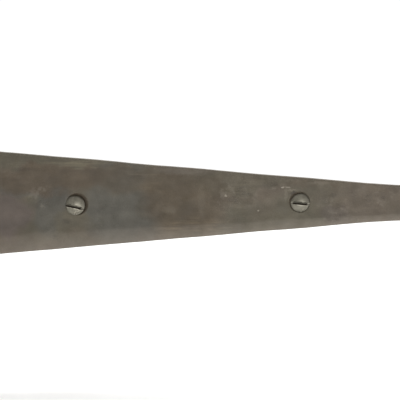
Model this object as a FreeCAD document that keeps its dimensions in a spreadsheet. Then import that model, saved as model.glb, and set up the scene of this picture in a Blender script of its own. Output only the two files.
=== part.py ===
"""T hinge for a heavy door: a long tapering strap, a jamb leaf, a riveted pin and its wood screws.

Millimetres and degrees. The origin lies on the mounting plane, which is the back of both leaves,
straight behind the pin's axis and at the barrel's mid-height. +X runs along the strap towards its
tip, +Z up along the pin, and the hinge's face looks towards -Y. The screws run back towards +Y.
"""
import FreeCAD, Part
import math
import os
import re

import Sketcher

Vector = FreeCAD.Vector
ORIGIN = (-1, 1)  # how a sketch's constraints name its own origin

# Driving dimensions: alias, value, what it is.
DRIVING = (
    ("leaf_thickness", 5.0, "thickness of the strap, the jamb leaf and their rolled eyes"),
    ("pin_radius", 6.0, "radius of the pin's shaft"),
    ("running_clearance", 0.05, "radial gap between the pin and every bore on it"),
    ("axial_gap", 0.25, "gap between the strap's eye and each thrust washer"),
    ("lap_gap", 0.4, "gap between the end of a rolled eye and the leaf it curls back to"),
    ("eye_overlap", 1.0, "how far the root of a rolled eye runs into its plate"),
    ("edge_chamfer", 0.9, "chamfer along the front edges of both leaves"),
    ("root_width", 67.0, "width of the strap at its root, and height of its eye"),
    ("root_reach", 14.0, "distance from the pin's axis to where the strap starts to taper"),
    ("taper_angle", 4.935, "slope of each long edge of the strap"),
    ("neck_width", 16.6, "width of the strap at its neck"),
    ("neck_radius", 30.0, "radius from the neck into the spear"),
    ("spear_centre", 360.0, "distance from the pin's axis to the widest part of the spear"),
    ("spear_width", 37.0, "width of the spear"),
    ("spear_radius", 40.0, "radius of the spear's shoulders"),
    ("tip_reach", 408.0, "distance from the pin's axis to the strap's tip"),
    ("tip_radius", 3.0, "radius of the strap's tip"),
    ("first_screw", 43.4, "distance from the pin's axis to the strap's first screw"),
    ("screw_pitch", 108.0, "distance between the strap's screws"),
    ("jamb_height", 176.0, "height of the jamb leaf"),
    ("jamb_width", 62.0, "distance from the pin's axis to the jamb leaf's far edge"),
    ("jamb_edge", 13.0, "distance from the pin's axis to the jamb leaf's near edge"),
    ("jamb_corner", 9.0, "size of the jamb leaf's cut-off corners"),
    ("jamb_eye_height", 33.0, "height of each eye on the jamb leaf"),
    ("jamb_screw_centre", 37.5, "distance from the pin's axis to the middle of the jamb screws"),
    ("corner_pitch_across", 25.0, "distance across between the jamb leaf's corner screws"),
    ("corner_pitch_up", 148.0, "distance up between the jamb leaf's corner screws"),
    ("middle_pitch_up", 48.0, "distance up between the jamb leaf's two middle screws"),
    ("thrust_washer_thickness", 1.5, "thickness of a thrust washer"),
    ("rivet_washer_thickness", 2.0, "thickness of a washer under a peened head"),
    ("washer_radius", 10.5, "outer radius of every washer"),
    ("rivet_head_radius", 9.0, "radius of the pin's peened heads"),
    ("rivet_head_height", 3.6, "height of the pin's peened heads"),
    ("rivet_head_rim", 0.8, "height of the straight rim of a peened head"),
    ("hole_radius", 3.6, "radius of a screw hole"),
    ("countersink_radius", 5.5, "radius of a screw hole's countersink at the leaf's face"),
    ("countersink_angle", 82.0, "full angle of the countersinks and the screw heads"),
    ("head_radius", 4.75, "radius of a screw's head"),
    ("head_rim", 0.25, "height of the straight rim of a screw's head"),
    ("head_dome", 1.5, "height of a screw head's dome above its rim"),
    ("slot_width", 1.15, "width of a screw's slot"),
    ("slot_depth", 1.7, "depth of a screw's slot below the crown"),
    ("shank_radius", 2.4, "radius of a screw's plain shank and of its thread's crest"),
    ("screw_length", 38.0, "length of a screw from its rim to its point"),
    ("point_length", 5.0, "length of a screw's tapered point"),
    ("point_radius", 0.3, "radius of the blunt end of a screw's point"),
    ("thread_length", 24.0, "length of a screw's thread, point included"),
    ("thread_pitch", 2.0, "distance between the thread's turns"),
    ("thread_root_radius", 1.65, "radius at the bottom of the thread"),
)

# Values worked out from the driving dimensions: name, formula. The groove is what a thread leaves
# between its turns: narrow at its floor, and wider than the crests by the time it is past the shank.
WORKED_OUT = (
    ("bore_radius", "pin_radius + running_clearance"),
    ("barrel_radius", "bore_radius + leaf_thickness"),
    ("lap_height", "bore_radius - lap_gap"),
    ("half_root", "root_width / 2"),
    ("half_neck", "neck_width / 2"),
    ("jamb_up", "jamb_height / 2"),
    ("corner_across", "corner_pitch_across / 2"),
    ("corner_up", "corner_pitch_up / 2"),
    ("middle_up", "middle_pitch_up / 2"),
    ("half_slot", "slot_width / 2"),
    ("thrust_washer_base", "half_root + axial_gap"),
    ("jamb_eye_base", "thrust_washer_base + thrust_washer_thickness"),
    ("rivet_washer_base", "jamb_eye_base + jamb_eye_height"),
    ("rivet_head_base", "rivet_washer_base + rivet_washer_thickness"),
    ("spear_below", "spear_radius - spear_width / 2"),
    ("seat_slope", "tan(countersink_angle / 2)"),
    ("head_depth", "(countersink_radius - head_radius) / seat_slope - head_rim"),
    ("head_cone", "(head_radius - shank_radius) / seat_slope"),
    ("crown_height", "head_dome - head_depth"),
    ("screw_tip", "head_depth + screw_length"),
    ("point_base", "screw_tip - point_length"),
    ("groove_start", "screw_tip - thread_pitch / 2"),
    ("groove_floor", "0.15 * thread_pitch"),
    ("groove_mouth", "0.45 * thread_pitch"),
    ("groove_reach", "1.25 * shank_radius - 0.25 * thread_root_radius"),
)

# A screw's slot stands at the angle where its screw happened to tighten: degrees, seen from the face.
STRAP_SLOT_ANGLES = (24.0, -13.0, -7.5, 61.0)
JAMB_SLOT_ANGLES = (38.0, -71.0, 9.0, -28.0, 83.0, 52.0)

doc = FreeCAD.newDocument("door_hinge")
dims = doc.addObject("Spreadsheet::Sheet", "dims")
for row, (alias, number, meaning) in enumerate(DRIVING, start=1):
    dims.set(f"A{row}", meaning)
    dims.set(f"B{row}", str(number))
    dims.setAlias(f"B{row}", alias)
derived = doc.addObject("App::VarSet", "derived")

HOLDER = {alias: "dims" for alias, number, meaning in DRIVING}
HOLDER.update({name: "derived" for name, formula in WORKED_OUT})


def linked(formula):
    """Write each name in a formula as the cell or value that holds it."""
    return re.sub(r"[a-z]+(_[a-z]+)+", lambda word: f"{HOLDER[word.group()]}.{word.group()}", formula)


for name, formula in WORKED_OUT:
    derived.addProperty("App::PropertyFloat", name)
    derived.setExpression(name, linked(formula))
doc.recompute()


def size(name):
    """The present value of a driving or worked-out dimension."""
    return float(getattr(dims if HOLDER[name] == "dims" else derived, name))


def origin_plane(body, role):
    return next(feature for feature in body.Origin.OriginFeatures if feature.Role == role)


def new_sketch(body, name, role, offset=None):
    """An empty sketch on one of the body's origin planes, or off it by the size that offset names."""
    sketch = body.newObject("Sketcher::SketchObject", name)
    sketch.AttachmentSupport = [(origin_plane(body, role), "")]
    sketch.MapMode = "FlatFace"
    if offset:
        sketch.setExpression("AttachmentOffset.Base.z", linked(offset))
    return sketch


def tie(sketch, constraint, formula):
    """Add a constraint whose value is worked out from named sizes."""
    index = sketch.addConstraint(constraint)
    sketch.setExpression(f"Constraints[{index}]", linked(formula))


class Outline:
    """A closed sketch, drawn edge after edge, whose sizes are then tied to named dimensions."""

    def __init__(self, body, name, role, start, offset=None):
        self.sketch = new_sketch(body, name, role, offset)
        self.first = Vector(*start)
        self.here = self.first
        self.starts = []
        self.ends = []

    def _add(self, geometry, start, end, smooth):
        edge = self.sketch.addGeometry(geometry, False)
        if self.ends:
            kind = "Tangent" if smooth else "Coincident"
            self.sketch.addConstraint(Sketcher.Constraint(kind, *self.ends[-1], edge, start))
        self.starts.append((edge, start))
        self.ends.append((edge, end))
        return edge

    def line(self, x, y, smooth=False):
        end = Vector(x, y)
        edge = self._add(Part.LineSegment(self.here, end), 1, 2, smooth)
        self.here = end
        return edge

    def arc(self, centre, x, y, clockwise=False, smooth=False):
        middle = Vector(*centre)
        end = Vector(x, y)
        circle = Part.Circle(middle, Vector(0, 0, 1), (end - middle).Length)
        angles = [math.atan2(point.y - middle.y, point.x - middle.x) for point in (self.here, end)]
        if clockwise:
            edge = self._add(Part.ArcOfCircle(circle, angles[1], angles[0]), 2, 1, smooth)
        else:
            edge = self._add(Part.ArcOfCircle(circle, angles[0], angles[1]), 1, 2, smooth)
        self.here = end
        return edge

    def close(self):
        """Draw the last line back to the start."""
        self.line(self.first.x, self.first.y)
        self.sketch.addConstraint(Sketcher.Constraint("Coincident", *self.ends[-1], *self.starts[0]))

    def level(self, *edges):
        for edge in edges:
            self.sketch.addConstraint(Sketcher.Constraint("Horizontal", edge))

    def upright(self, *edges):
        for edge in edges:
            self.sketch.addConstraint(Sketcher.Constraint("Vertical", edge))

    def pin_to_origin(self, point):
        self.sketch.addConstraint(Sketcher.Constraint("Coincident", *point, *ORIGIN))

    def above(self, point, other):
        """Keep two points on one vertical line."""
        self.sketch.addConstraint(Sketcher.Constraint("Vertical", *point, *other))

    def tie_x(self, point, formula):
        now = self.sketch.getPoint(*point).x
        tie(self.sketch, Sketcher.Constraint("DistanceX", *ORIGIN, *point, now), formula)

    def tie_y(self, point, formula):
        now = self.sketch.getPoint(*point).y
        tie(self.sketch, Sketcher.Constraint("DistanceY", *ORIGIN, *point, now), formula)

    def tie_corners(self, formulas):
        """Tie the corner at the start of each edge to a pair of formulas."""
        for point, (across, up) in zip(self.starts, formulas):
            self.tie_x(point, across)
            self.tie_y(point, up)

    def tie_radius(self, edge, formula):
        now = self.sketch.Geometry[edge].Radius
        tie(self.sketch, Sketcher.Constraint("Radius", edge, now), formula)

    def tie_slope(self, edge, formula):
        """Tie how far a line falls below the X axis, in degrees."""
        line = self.sketch.Geometry[edge]
        run = line.EndPoint - line.StartPoint
        now = math.atan2(run.y, run.x)
        tie(self.sketch, Sketcher.Constraint("Angle", edge, now), f"-({formula}) * 1 deg")


def new_body(label):
    body = doc.addObject("PartDesign::Body", label)
    body.Label = label
    return body


def polygon(body, name, role, corners, offset=None):
    """A closed outline of straight lines, with a pair of named sizes (or 0) at each corner."""
    places = [(signed(across), signed(up)) for across, up in corners]
    outline = Outline(body, name, role, places[0], offset)
    for place in places[1:]:
        outline.line(*place)
    outline.close()
    outline.tie_corners(corners)
    return outline.sketch


def signed(formula):
    """The value of a name, of a name with a minus sign, or of a sum or difference of names."""
    total = 0.0
    for sign, word in re.findall(r"([+-]?)\s*([a-z_]+|[0-9.]+)", formula):
        amount = size(word) if word in HOLDER else float(word)
        total += -amount if sign == "-" else amount
    return total


def pad(body, name, sketch, length, both_ways=False):
    feature = body.newObject("PartDesign::Pad", name)
    feature.Profile = sketch
    feature.SideType = "Symmetric" if both_ways else "One side"
    feature.setExpression("Length", linked(length))
    doc.recompute()
    return feature


def revolve(body, name, sketch):
    """Turn a sketch round its own vertical axis."""
    feature = body.newObject("PartDesign::Revolution", name)
    feature.Profile = sketch
    feature.ReferenceAxis = (sketch, ["V_Axis"])
    feature.Angle = 360
    doc.recompute()
    return feature


def mirror(body, name, feature):
    """Repeat a feature below the XY plane."""
    mirrored = body.newObject("PartDesign::Mirrored", name)
    mirrored.Originals = [feature]
    mirrored.MirrorPlane = (origin_plane(body, "XY_Plane"), [""])
    body.Tip = mirrored
    doc.recompute()
    return mirrored


def chamfer_front(body, skip):
    """Chamfer the outline of the front face, but for the edges that skip says to leave."""
    base = body.Tip
    front = -size("leaf_thickness")
    names = []
    for number, edge in enumerate(base.Shape.Edges, start=1):
        box = edge.BoundBox
        if abs(box.YMin - front) < 1e-6 and abs(box.YMax - front) < 1e-6 and not skip(box):
            names.append(f"Edge{number}")
    feature = body.newObject("PartDesign::Chamfer", "softened_front")
    feature.Base = (base, names)
    feature.setExpression("Size", linked("edge_chamfer"))
    doc.recompute()
    return feature


def rolled_eye(body, name, side, height, base=None):
    """One eye, rolled forward round the pin from the back of a leaf that lies on the given side."""
    barrel, bore = size("barrel_radius"), size("bore_radius")
    thickness, lap = size("leaf_thickness"), size("lap_height")
    root = "eye_overlap" if side > 0 else "-jamb_edge - eye_overlap"
    centre = (0, -barrel)
    lap_level = lap - barrel
    lap_outside = side * math.sqrt(barrel ** 2 - lap ** 2)
    lap_inside = side * math.sqrt(bore ** 2 - lap ** 2)

    outline = Outline(body, name + "_section", "XY_Plane", (signed(root), 0), base)
    outline.line(0, 0)
    outer = outline.arc(centre, lap_outside, lap_level, clockwise=side < 0)
    lap_end = outline.line(lap_inside, lap_level)
    inner = outline.arc(centre, 0, -thickness, clockwise=side > 0)
    front = outline.line(signed(root), -thickness)
    outline.close()
    outline.pin_to_origin(outline.ends[0])
    outline.level(0, front, lap_end)
    outline.upright(front + 1)
    outline.tie_x(outline.starts[0], root)
    outline.tie_y(outline.ends[front], "-leaf_thickness")
    outline.tie_x((outer, 3), "0")
    outline.tie_y((outer, 3), "-barrel_radius")
    outline.sketch.addConstraint(Sketcher.Constraint("Coincident", outer, 3, inner, 3))
    outline.tie_x(outline.ends[inner], "0")
    outline.tie_y(outline.ends[lap_end], "lap_height - barrel_radius")
    return pad(body, name, outline.sketch, height, both_ways=base is None)


def countersunk_holes(body, name, places):
    """Countersunk screw holes through a leaf, from its front face."""
    sketch = new_sketch(body, name + "_centres", "XZ_Plane", offset="leaf_thickness")
    radius = size("hole_radius")
    for across, up in places:
        centre = Vector(signed(across), signed(up))
        circle = sketch.addGeometry(Part.Circle(centre, Vector(0, 0, 1), radius), False)
        for kind, formula, now in (("DistanceX", across, centre.x), ("DistanceY", up, centre.y)):
            tie(sketch, Sketcher.Constraint(kind, *ORIGIN, circle, 3, now), formula)
        tie(sketch, Sketcher.Constraint("Radius", circle, radius), "hole_radius")
    doc.recompute()
    before = body.Shape.Volume
    hole = body.newObject("PartDesign::Hole", name)
    hole.Profile = sketch
    hole.DepthType = "ThroughAll"
    hole.setExpression("Diameter", linked("2 * hole_radius"))
    hole.HoleCutType = "Countersink"
    hole.HoleCutCustomValues = True
    hole.setExpression("HoleCutDiameter", linked("2 * countersink_radius"))
    hole.setExpression("HoleCutCountersinkAngle", linked("countersink_angle"))
    doc.recompute()
    if body.Shape.Volume > before - len(places) * math.pi * radius ** 2:
        raise RuntimeError(f"{name} cut nothing from {body.Label}")
    return hole


def strap_outline(body):
    """The upper half of the strap: straight root, long taper, neck and spear."""
    half_root, root_reach, half_neck = size("half_root"), size("root_reach"), size("half_neck")
    taper = math.radians(size("taper_angle"))
    neck_radius, spear_radius = size("neck_radius"), size("spear_radius")
    tip_radius = size("tip_radius")
    spear = Vector(size("spear_centre"), -size("spear_below"))

    # The neck's arc touches the spear's shoulder, and is level where the strap is narrowest.
    neck_centre_up = half_neck + neck_radius
    between = neck_radius + spear_radius
    neck_x = spear.x - math.sqrt(between ** 2 - (neck_centre_up - spear.y) ** 2)
    neck = Vector(neck_x, neck_centre_up)
    shoulder = neck + (spear - neck) * (neck_radius / between)

    # A very large arc leads the taper into the neck.
    crossing = root_reach + (half_root - half_neck) / math.tan(taper)
    blend_run = neck_x - crossing
    blend_radius = blend_run / math.tan(taper / 2)
    taper_end = Vector(crossing - blend_run * math.cos(taper), half_neck + blend_run * math.sin(taper))

    # The spear's straight side touches its shoulder and the round of its tip.
    tip_centre = Vector(size("tip_reach") - tip_radius, 0)
    across = tip_centre - spear
    lean = math.atan2(across.y, across.x) + math.acos((spear_radius - tip_radius) / across.Length)
    outward = Vector(math.cos(lean), math.sin(lean))
    side_start = spear + outward * spear_radius
    side_end = tip_centre + outward * tip_radius

    outline = Outline(body, "strap_half", "XZ_Plane", (0, 0))
    root = outline.line(0, half_root)
    top = outline.line(root_reach, half_root)
    long_edge = outline.line(taper_end.x, taper_end.y)
    outline.arc((neck_x, half_neck + blend_radius), neck_x, half_neck, smooth=True)
    neck_arc = outline.arc((neck.x, neck.y), shoulder.x, shoulder.y, smooth=True)
    spear_arc = outline.arc((spear.x, spear.y), side_start.x, side_start.y, clockwise=True, smooth=True)
    outline.line(side_end.x, side_end.y, smooth=True)
    tip_arc = outline.arc((tip_centre.x, 0), size("tip_reach"), 0, clockwise=True, smooth=True)
    outline.close()
    outline.pin_to_origin(outline.starts[root])
    outline.upright(root)
    outline.level(top, tip_arc + 1)
    outline.above((neck_arc, 3), outline.starts[neck_arc])
    outline.tie_y(outline.ends[root], "half_root")
    outline.tie_x(outline.ends[top], "root_reach")
    outline.tie_slope(long_edge, "taper_angle")
    outline.tie_y(outline.starts[neck_arc], "half_neck")
    outline.tie_radius(neck_arc, "neck_radius")
    outline.tie_radius(spear_arc, "spear_radius")
    outline.tie_x((spear_arc, 3), "spear_centre")
    outline.tie_y((spear_arc, 3), "-spear_below")
    outline.tie_radius(tip_arc, "tip_radius")
    outline.tie_y((tip_arc, 3), "0")
    outline.tie_x(outline.ends[tip_arc], "tip_reach")
    return outline.sketch


def make_strap_leaf():
    """The long leaf: strap, neck, spear and one tall rolled eye."""
    body = new_body("strap_leaf")
    half = pad(body, "upper_half", strap_outline(body), "leaf_thickness")
    mirror(body, "whole_strap", half)
    chamfer_front(body, skip=lambda box: box.XMax < 1e-6)
    rolled_eye(body, "eye", 1, "root_width")
    hole = countersunk_holes(body, "screw_hole", [("first_screw", "0")])
    row_of_holes = body.newObject("PartDesign::LinearPattern", "screw_holes")
    row_of_holes.Originals = [hole]
    row_of_holes.Direction = (hole.Profile[0], ["H_Axis"])
    row_of_holes.Occurrences = len(STRAP_SLOT_ANGLES)
    row_of_holes.setExpression("Length", linked(f"{len(STRAP_SLOT_ANGLES) - 1} * screw_pitch"))
    body.Tip = row_of_holes


def jamb_screw_places():
    """Names of the jamb screws' places: four corners, then the middle pair."""
    centre = "-jamb_screw_centre"
    across = "corner_across"
    corners = [(f"{centre} {side} {across}", f"{up}corner_up") for up in ("", "-") for side in "-+"]
    return corners + [(centre, "middle_up"), (centre, "-middle_up")]


def make_jamb_leaf():
    """The tall leaf: a plate with clipped corners and a rolled eye above and below the strap's."""
    body = new_body("jamb_leaf")
    far, near, top, cut = "-jamb_width", "-jamb_edge", "jamb_up", "jamb_corner"
    corners = [
        (near, f"-{top}"),
        (near, top),
        (f"{far} + {cut}", top),
        (far, f"{top} - {cut}"),
        (far, f"-{top} + {cut}"),
        (f"{far} + {cut}", f"-{top}"),
    ]
    pad(body, "plate", polygon(body, "plate_outline", "XZ_Plane", corners), "leaf_thickness")
    chamfer_front(body, skip=lambda box: False)
    eye = rolled_eye(body, "upper_eye", -1, "jamb_eye_height", base="jamb_eye_base")
    mirror(body, "both_eyes", eye)
    countersunk_holes(body, "screw_holes", jamb_screw_places())


def place_on_pin(body):
    """Move a body that was made round its own Z axis onto the pin's axis."""
    body.setExpression("Placement.Base.y", linked("-barrel_radius"))


def make_pin():
    """The pin, with a shallow domed head peened over at each end."""
    body = new_body("hinge_pin")
    shaft, head = size("pin_radius"), size("rivet_head_radius")
    base = size("rivet_head_base")
    rim = base + size("rivet_head_rim")
    crown = base + size("rivet_head_height")
    rise = crown - rim
    dome = (head ** 2 + rise ** 2) / (2 * rise)
    outline = Outline(body, "half_pin", "XZ_Plane", (0, 0))
    middle = outline.line(shaft, 0)
    side = outline.line(shaft, base)
    underside = outline.line(head, base)
    edge = outline.line(head, rim)
    cap = outline.arc((0, crown - dome), 0, crown)
    outline.close()
    outline.pin_to_origin(outline.starts[middle])
    outline.level(middle, underside)
    outline.upright(side, edge, cap + 1)
    outline.tie_x(outline.ends[middle], "pin_radius")
    outline.tie_y(outline.ends[side], "rivet_head_base")
    outline.tie_x(outline.ends[underside], "rivet_head_radius")
    outline.tie_y(outline.ends[edge], "rivet_head_base + rivet_head_rim")
    outline.tie_y(outline.ends[cap], "rivet_head_base + rivet_head_height")
    outline.tie_x((cap, 3), "0")
    mirror(body, "whole_pin", revolve(body, "upper_half", outline.sketch))
    place_on_pin(body)


def make_washer(label, base, thickness):
    """A flat washer on the pin, whose lower face lies at the height that base says."""
    body = new_body(label)
    sketch = new_sketch(body, label + "_rings", "XY_Plane")
    for name in ("washer_radius", "bore_radius"):
        ring = sketch.addGeometry(Part.Circle(Vector(0, 0), Vector(0, 0, 1), size(name)), False)
        sketch.addConstraint(Sketcher.Constraint("Coincident", ring, 3, *ORIGIN))
        tie(sketch, Sketcher.Constraint("Radius", ring, size(name)), name)
    pad(body, label + "_disc", sketch, thickness)
    place_on_pin(body)
    body.setExpression("Placement.Base.z", linked(base))


def screw_profile(body):
    """Half of a screw's section: domed head, cone, plain shank and point, with its axis along Z."""
    head, shank = size("head_radius"), size("shank_radius")
    crown = size("crown_height")
    rim = -size("head_depth")
    under_rim = rim - size("head_rim")
    neck = under_rim - size("head_cone")
    point_base, tip = -size("point_base"), -size("screw_tip")
    dome = (head ** 2 + size("head_dome") ** 2) / (2 * size("head_dome"))
    outline = Outline(body, "half_section", "XZ_Plane", (0, tip))
    end = outline.line(size("point_radius"), tip)
    outline.line(shank, point_base)
    side = outline.line(shank, neck)
    outline.line(head, under_rim)
    edge = outline.line(head, rim)
    cap = outline.arc((0, crown - dome), 0, crown)
    outline.close()
    outline.level(end)
    outline.upright(side, edge, cap + 1)
    outline.tie_x(outline.starts[end], "0")
    outline.tie_y(outline.starts[end], "-screw_tip")
    outline.tie_x(outline.ends[end], "point_radius")
    outline.tie_x(outline.starts[side], "shank_radius")
    outline.tie_y(outline.starts[side], "-point_base")
    outline.tie_y(outline.ends[side], "-head_depth - head_rim - head_cone")
    outline.tie_x(outline.starts[edge], "head_radius")
    outline.tie_y(outline.starts[edge], "-head_depth - head_rim")
    outline.tie_y(outline.ends[edge], "-head_depth")
    outline.tie_y(outline.ends[cap], "crown_height")
    outline.tie_x((cap, 3), "0")
    return outline.sketch


def cut_slot(body):
    before = body.Shape.Volume
    right, left = "head_radius + slot_width", "-head_radius - slot_width"
    up, down = "half_slot", "-half_slot"
    corners = [(right, up), (left, up), (left, down), (right, down)]
    slot = body.newObject("PartDesign::Pocket", "slot")
    slot.Profile = polygon(body, "slot_outline", "XY_Plane", corners, offset="crown_height")
    slot.setExpression("Length", linked("slot_depth"))
    body.Tip = slot
    doc.recompute()
    if body.Shape.Volume >= before:
        raise RuntimeError(f"the slot cut nothing from {body.Label}")


def cut_thread(body):
    """A coarse wood-screw thread, cut as one helical groove that leaves narrow crests."""
    before = body.Shape.Volume
    corners = [
        ("thread_root_radius", "-groove_start - groove_floor"),
        ("groove_reach", "-groove_start - groove_mouth"),
        ("groove_reach", "-groove_start + groove_mouth"),
        ("thread_root_radius", "-groove_start + groove_floor"),
    ]
    groove = polygon(body, "groove", "XZ_Plane", corners)
    doc.recompute()
    thread = body.newObject("PartDesign::SubtractiveHelix", "thread")
    thread.Profile = groove
    thread.ReferenceAxis = (groove, ["V_Axis"])
    thread.Mode = "pitch-height-angle"
    thread.setExpression("Pitch", linked("thread_pitch"))
    thread.setExpression("Height", linked("thread_length - thread_pitch"))
    body.Tip = thread
    doc.recompute()
    if body.Shape.Volume >= before:
        raise RuntimeError(f"the thread cut nothing from {body.Label}")


def make_screw(label, across, up, slot_angle):
    """One wood screw, seated in its countersink, with its slot turned to the given angle."""
    body = new_body(label)
    revolve(body, "turned_blank", screw_profile(body))
    cut_slot(body)
    cut_thread(body)
    facing = FreeCAD.Rotation(Vector(1, 0, 0), 90)
    turned = FreeCAD.Rotation(Vector(0, 0, 1), slot_angle)
    body.Placement = FreeCAD.Placement(Vector(), facing.multiply(turned))
    body.setExpression("Placement.Base.x", linked(across))
    body.setExpression("Placement.Base.y", linked("-leaf_thickness"))
    body.setExpression("Placement.Base.z", linked(up))


def write_parts():
    """Check the whole document, then write each body to its own file."""
    doc.recompute()
    failed = [item.Label for item in doc.Objects if {"Invalid", "Error"} & set(item.State)]
    bodies = [item for item in doc.Objects if item.TypeId == "PartDesign::Body"]
    for body in bodies:
        if body.Shape.isNull() or not body.Shape.isValid() or len(body.Shape.Solids) != 1:
            failed.append(body.Label)
    if failed:
        raise RuntimeError("failed objects: " + ", ".join(failed))
    os.makedirs("parts", exist_ok=True)
    for body in bodies:
        body.Shape.exportStep(f"parts/{body.Label}.step")
        print(f"{body.Label}: {body.Shape.Volume:.1f} mm3")


make_strap_leaf()
make_jamb_leaf()
make_pin()
make_washer("thrust_washer_upper", "thrust_washer_base", "thrust_washer_thickness")
make_washer("thrust_washer_lower", "-jamb_eye_base", "thrust_washer_thickness")
make_washer("rivet_washer_upper", "rivet_washer_base", "rivet_washer_thickness")
make_washer("rivet_washer_lower", "-rivet_head_base", "rivet_washer_thickness")
for steps, angle in enumerate(STRAP_SLOT_ANGLES):
    make_screw(f"strap_screw_{steps + 1}", f"first_screw + {steps} * screw_pitch", "0", angle)
for number, (place, angle) in enumerate(zip(jamb_screw_places(), JAMB_SLOT_ANGLES), start=1):
    make_screw(f"jamb_screw_{number}", *place, angle)
write_parts()
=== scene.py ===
"""Looks of the T hinge: forged leaves, peened pin, worn washers and slotted wood screws.

Metres, in the CAD's frame: +X along the strap, the hinge's face towards -Y, +Z up along the pin.
"""

import math

import bmesh
import bpy
from mathutils import Matrix, Vector, noise


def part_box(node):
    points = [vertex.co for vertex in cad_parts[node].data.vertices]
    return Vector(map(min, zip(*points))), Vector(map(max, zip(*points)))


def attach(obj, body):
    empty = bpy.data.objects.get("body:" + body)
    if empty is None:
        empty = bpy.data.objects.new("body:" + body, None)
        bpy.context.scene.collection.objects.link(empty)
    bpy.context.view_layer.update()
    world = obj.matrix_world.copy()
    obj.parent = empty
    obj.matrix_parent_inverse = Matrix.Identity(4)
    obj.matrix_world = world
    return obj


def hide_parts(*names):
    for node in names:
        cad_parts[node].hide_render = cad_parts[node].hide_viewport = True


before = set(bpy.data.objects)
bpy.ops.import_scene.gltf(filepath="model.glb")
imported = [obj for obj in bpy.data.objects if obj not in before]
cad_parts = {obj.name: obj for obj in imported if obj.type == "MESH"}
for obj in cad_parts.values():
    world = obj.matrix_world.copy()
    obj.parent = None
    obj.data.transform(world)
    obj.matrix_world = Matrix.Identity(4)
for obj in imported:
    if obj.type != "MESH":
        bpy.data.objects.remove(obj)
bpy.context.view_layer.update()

MM = 0.001
NODES = sorted(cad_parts)
STRAP_SCREWS = [node for node in NODES if node.startswith("strap_screw")]
JAMB_SCREWS = [node for node in NODES if node.startswith("jamb_screw")]

# Sizes that the frame's boxes give.
strap_low, strap_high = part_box("strap_leaf")
jamb_low, jamb_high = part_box("jamb_leaf")
pin_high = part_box("hinge_pin")[1]
BARREL_RADIUS = -strap_low.y / 2
HALF_ROOT = strap_high.z
STRAP_TIP = strap_high.x
JAMB_FAR = -jamb_low.x
JAMB_TOP = jamb_high.z

# Sizes that they don't.
LEAF_THICKNESS = 5 * MM
BORE_RADIUS = BARREL_RADIUS - LEAF_THICKNESS
PIN_RADIUS = 6 * MM
PIN_HEAD = 3.6 * MM
PIN_HEAD_RIM = 0.8 * MM
LAP_GAP = 0.4 * MM
ROOT_REACH = 14 * MM
TAPER = math.radians(4.935)
HALF_NECK = 8.3 * MM
NECK_RADIUS = 30 * MM
SPEAR_CENTRE = 360 * MM
SPEAR_RADIUS = 40 * MM
SPEAR_BELOW = SPEAR_RADIUS - 18.5 * MM
TIP_RADIUS = 3 * MM
JAMB_NEAR = 13 * MM
JAMB_CORNER = 9 * MM
JAMB_EYE_BASE = HALF_ROOT + 1.75 * MM
JAMB_EYE_TOP = JAMB_EYE_BASE + 33 * MM
HOLE_RADIUS = 3.6 * MM
MOUTH_RADIUS = 5.5 * MM
HEAD_RADIUS = 4.75 * MM
SEAT_SLOPE = math.tan(math.radians(41))
HEAD_BAND = 0.25 * MM
HEAD_DEPTH = (MOUTH_RADIUS - HEAD_RADIUS) / SEAT_SLOPE - HEAD_BAND
HEAD_DOME = 1.5 * MM
DOME_RADIUS = (HEAD_RADIUS ** 2 + HEAD_DOME ** 2) / (2 * HEAD_DOME)
CROWN = HEAD_DOME - HEAD_DEPTH
SHANK_RADIUS = 2.4 * MM
SCREW_CLEARANCE = 0.03 * MM

# How each screw was driven: the slot's angle as seen from the face, how far the slot is cut off the
# head's middle (mm), how chewed the head is, how far the head and the countersink sit off the hole's
# middle (mm along X and Z), and the countersink's radius (mm).
SEATS = dict(zip(STRAP_SCREWS + JAMB_SCREWS, (
    (24, 0.2, 0.5, (0.20, -0.30), (-0.15, 0.10), 5.4),
    (-13, -0.95, 1.0, (-0.48, -1.20), (0.52, -0.65), 5.4),
    (-5, -0.4, 0.4, (0.24, -0.05), (-0.15, 0.28), 5.1),
    (61, 0.1, 0.6, (-0.30, 0.15), (0.10, 0.00), 5.4),
    (38, -0.2, 0.4, (0.15, 0.30), (-0.10, -0.10), 5.3),
    (-71, 0.3, 0.7, (-0.40, 0.00), (0.10, 0.10), 5.4),
    (9, 0.0, 0.5, (0.30, -0.15), (0.00, 0.10), 5.3),
    (-28, -0.1, 0.4, (0.00, -0.30), (0.05, 0.10), 5.5),
    (83, 0.2, 0.6, (-0.15, -0.30), (0.10, 0.00), 5.3),
    (52, -0.3, 0.5, (0.30, 0.20), (-0.10, 0.00), 5.4),
)))
# The share of a head's shift that its bore follows, how far a head that rides up stands proud, and how
# far a head leans for each mm of its shift.
BORE_FOLLOWS = 0.75
PROUD = 0.42 * MM
LEAN = math.radians(1.5)

# How finely the shapes are drawn: the rim's width, the cells along and across a face, the rings round
# an edge and the degrees between two, the square round a hole and its rings, and a turned piece's sides.
RIM = 1 * MM
CELL = 0.9 * MM
STRAP_ROWS = 64
RIM_RINGS = 8
RIM_STEP = 30
PATCH = 7.6 * MM
PATCH_RINGS = 5
TURNED_SIDES = 72
# Rings down a countersink's wall: how far (0 at its mouth, 1 at the bore), and how much painted shade
# each gets.
WALL_RINGS = (
    (-0.1, 0.12), (0.02, 0.45), (0.12, 0.85), (0.2, 0.92), (0.28, 1.0), (0.4, 1.0), (0.7, 1.0),
    (1.0, 1.0),
)


def clamp(value, low=0.0, high=1.0):
    return max(low, min(high, value))


def smooth(value, low, high):
    """0 below low, 1 above high, and an easy curve between."""
    t = clamp((value - low) / (high - low))
    return t * t * (3 - 2 * t)


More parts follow.
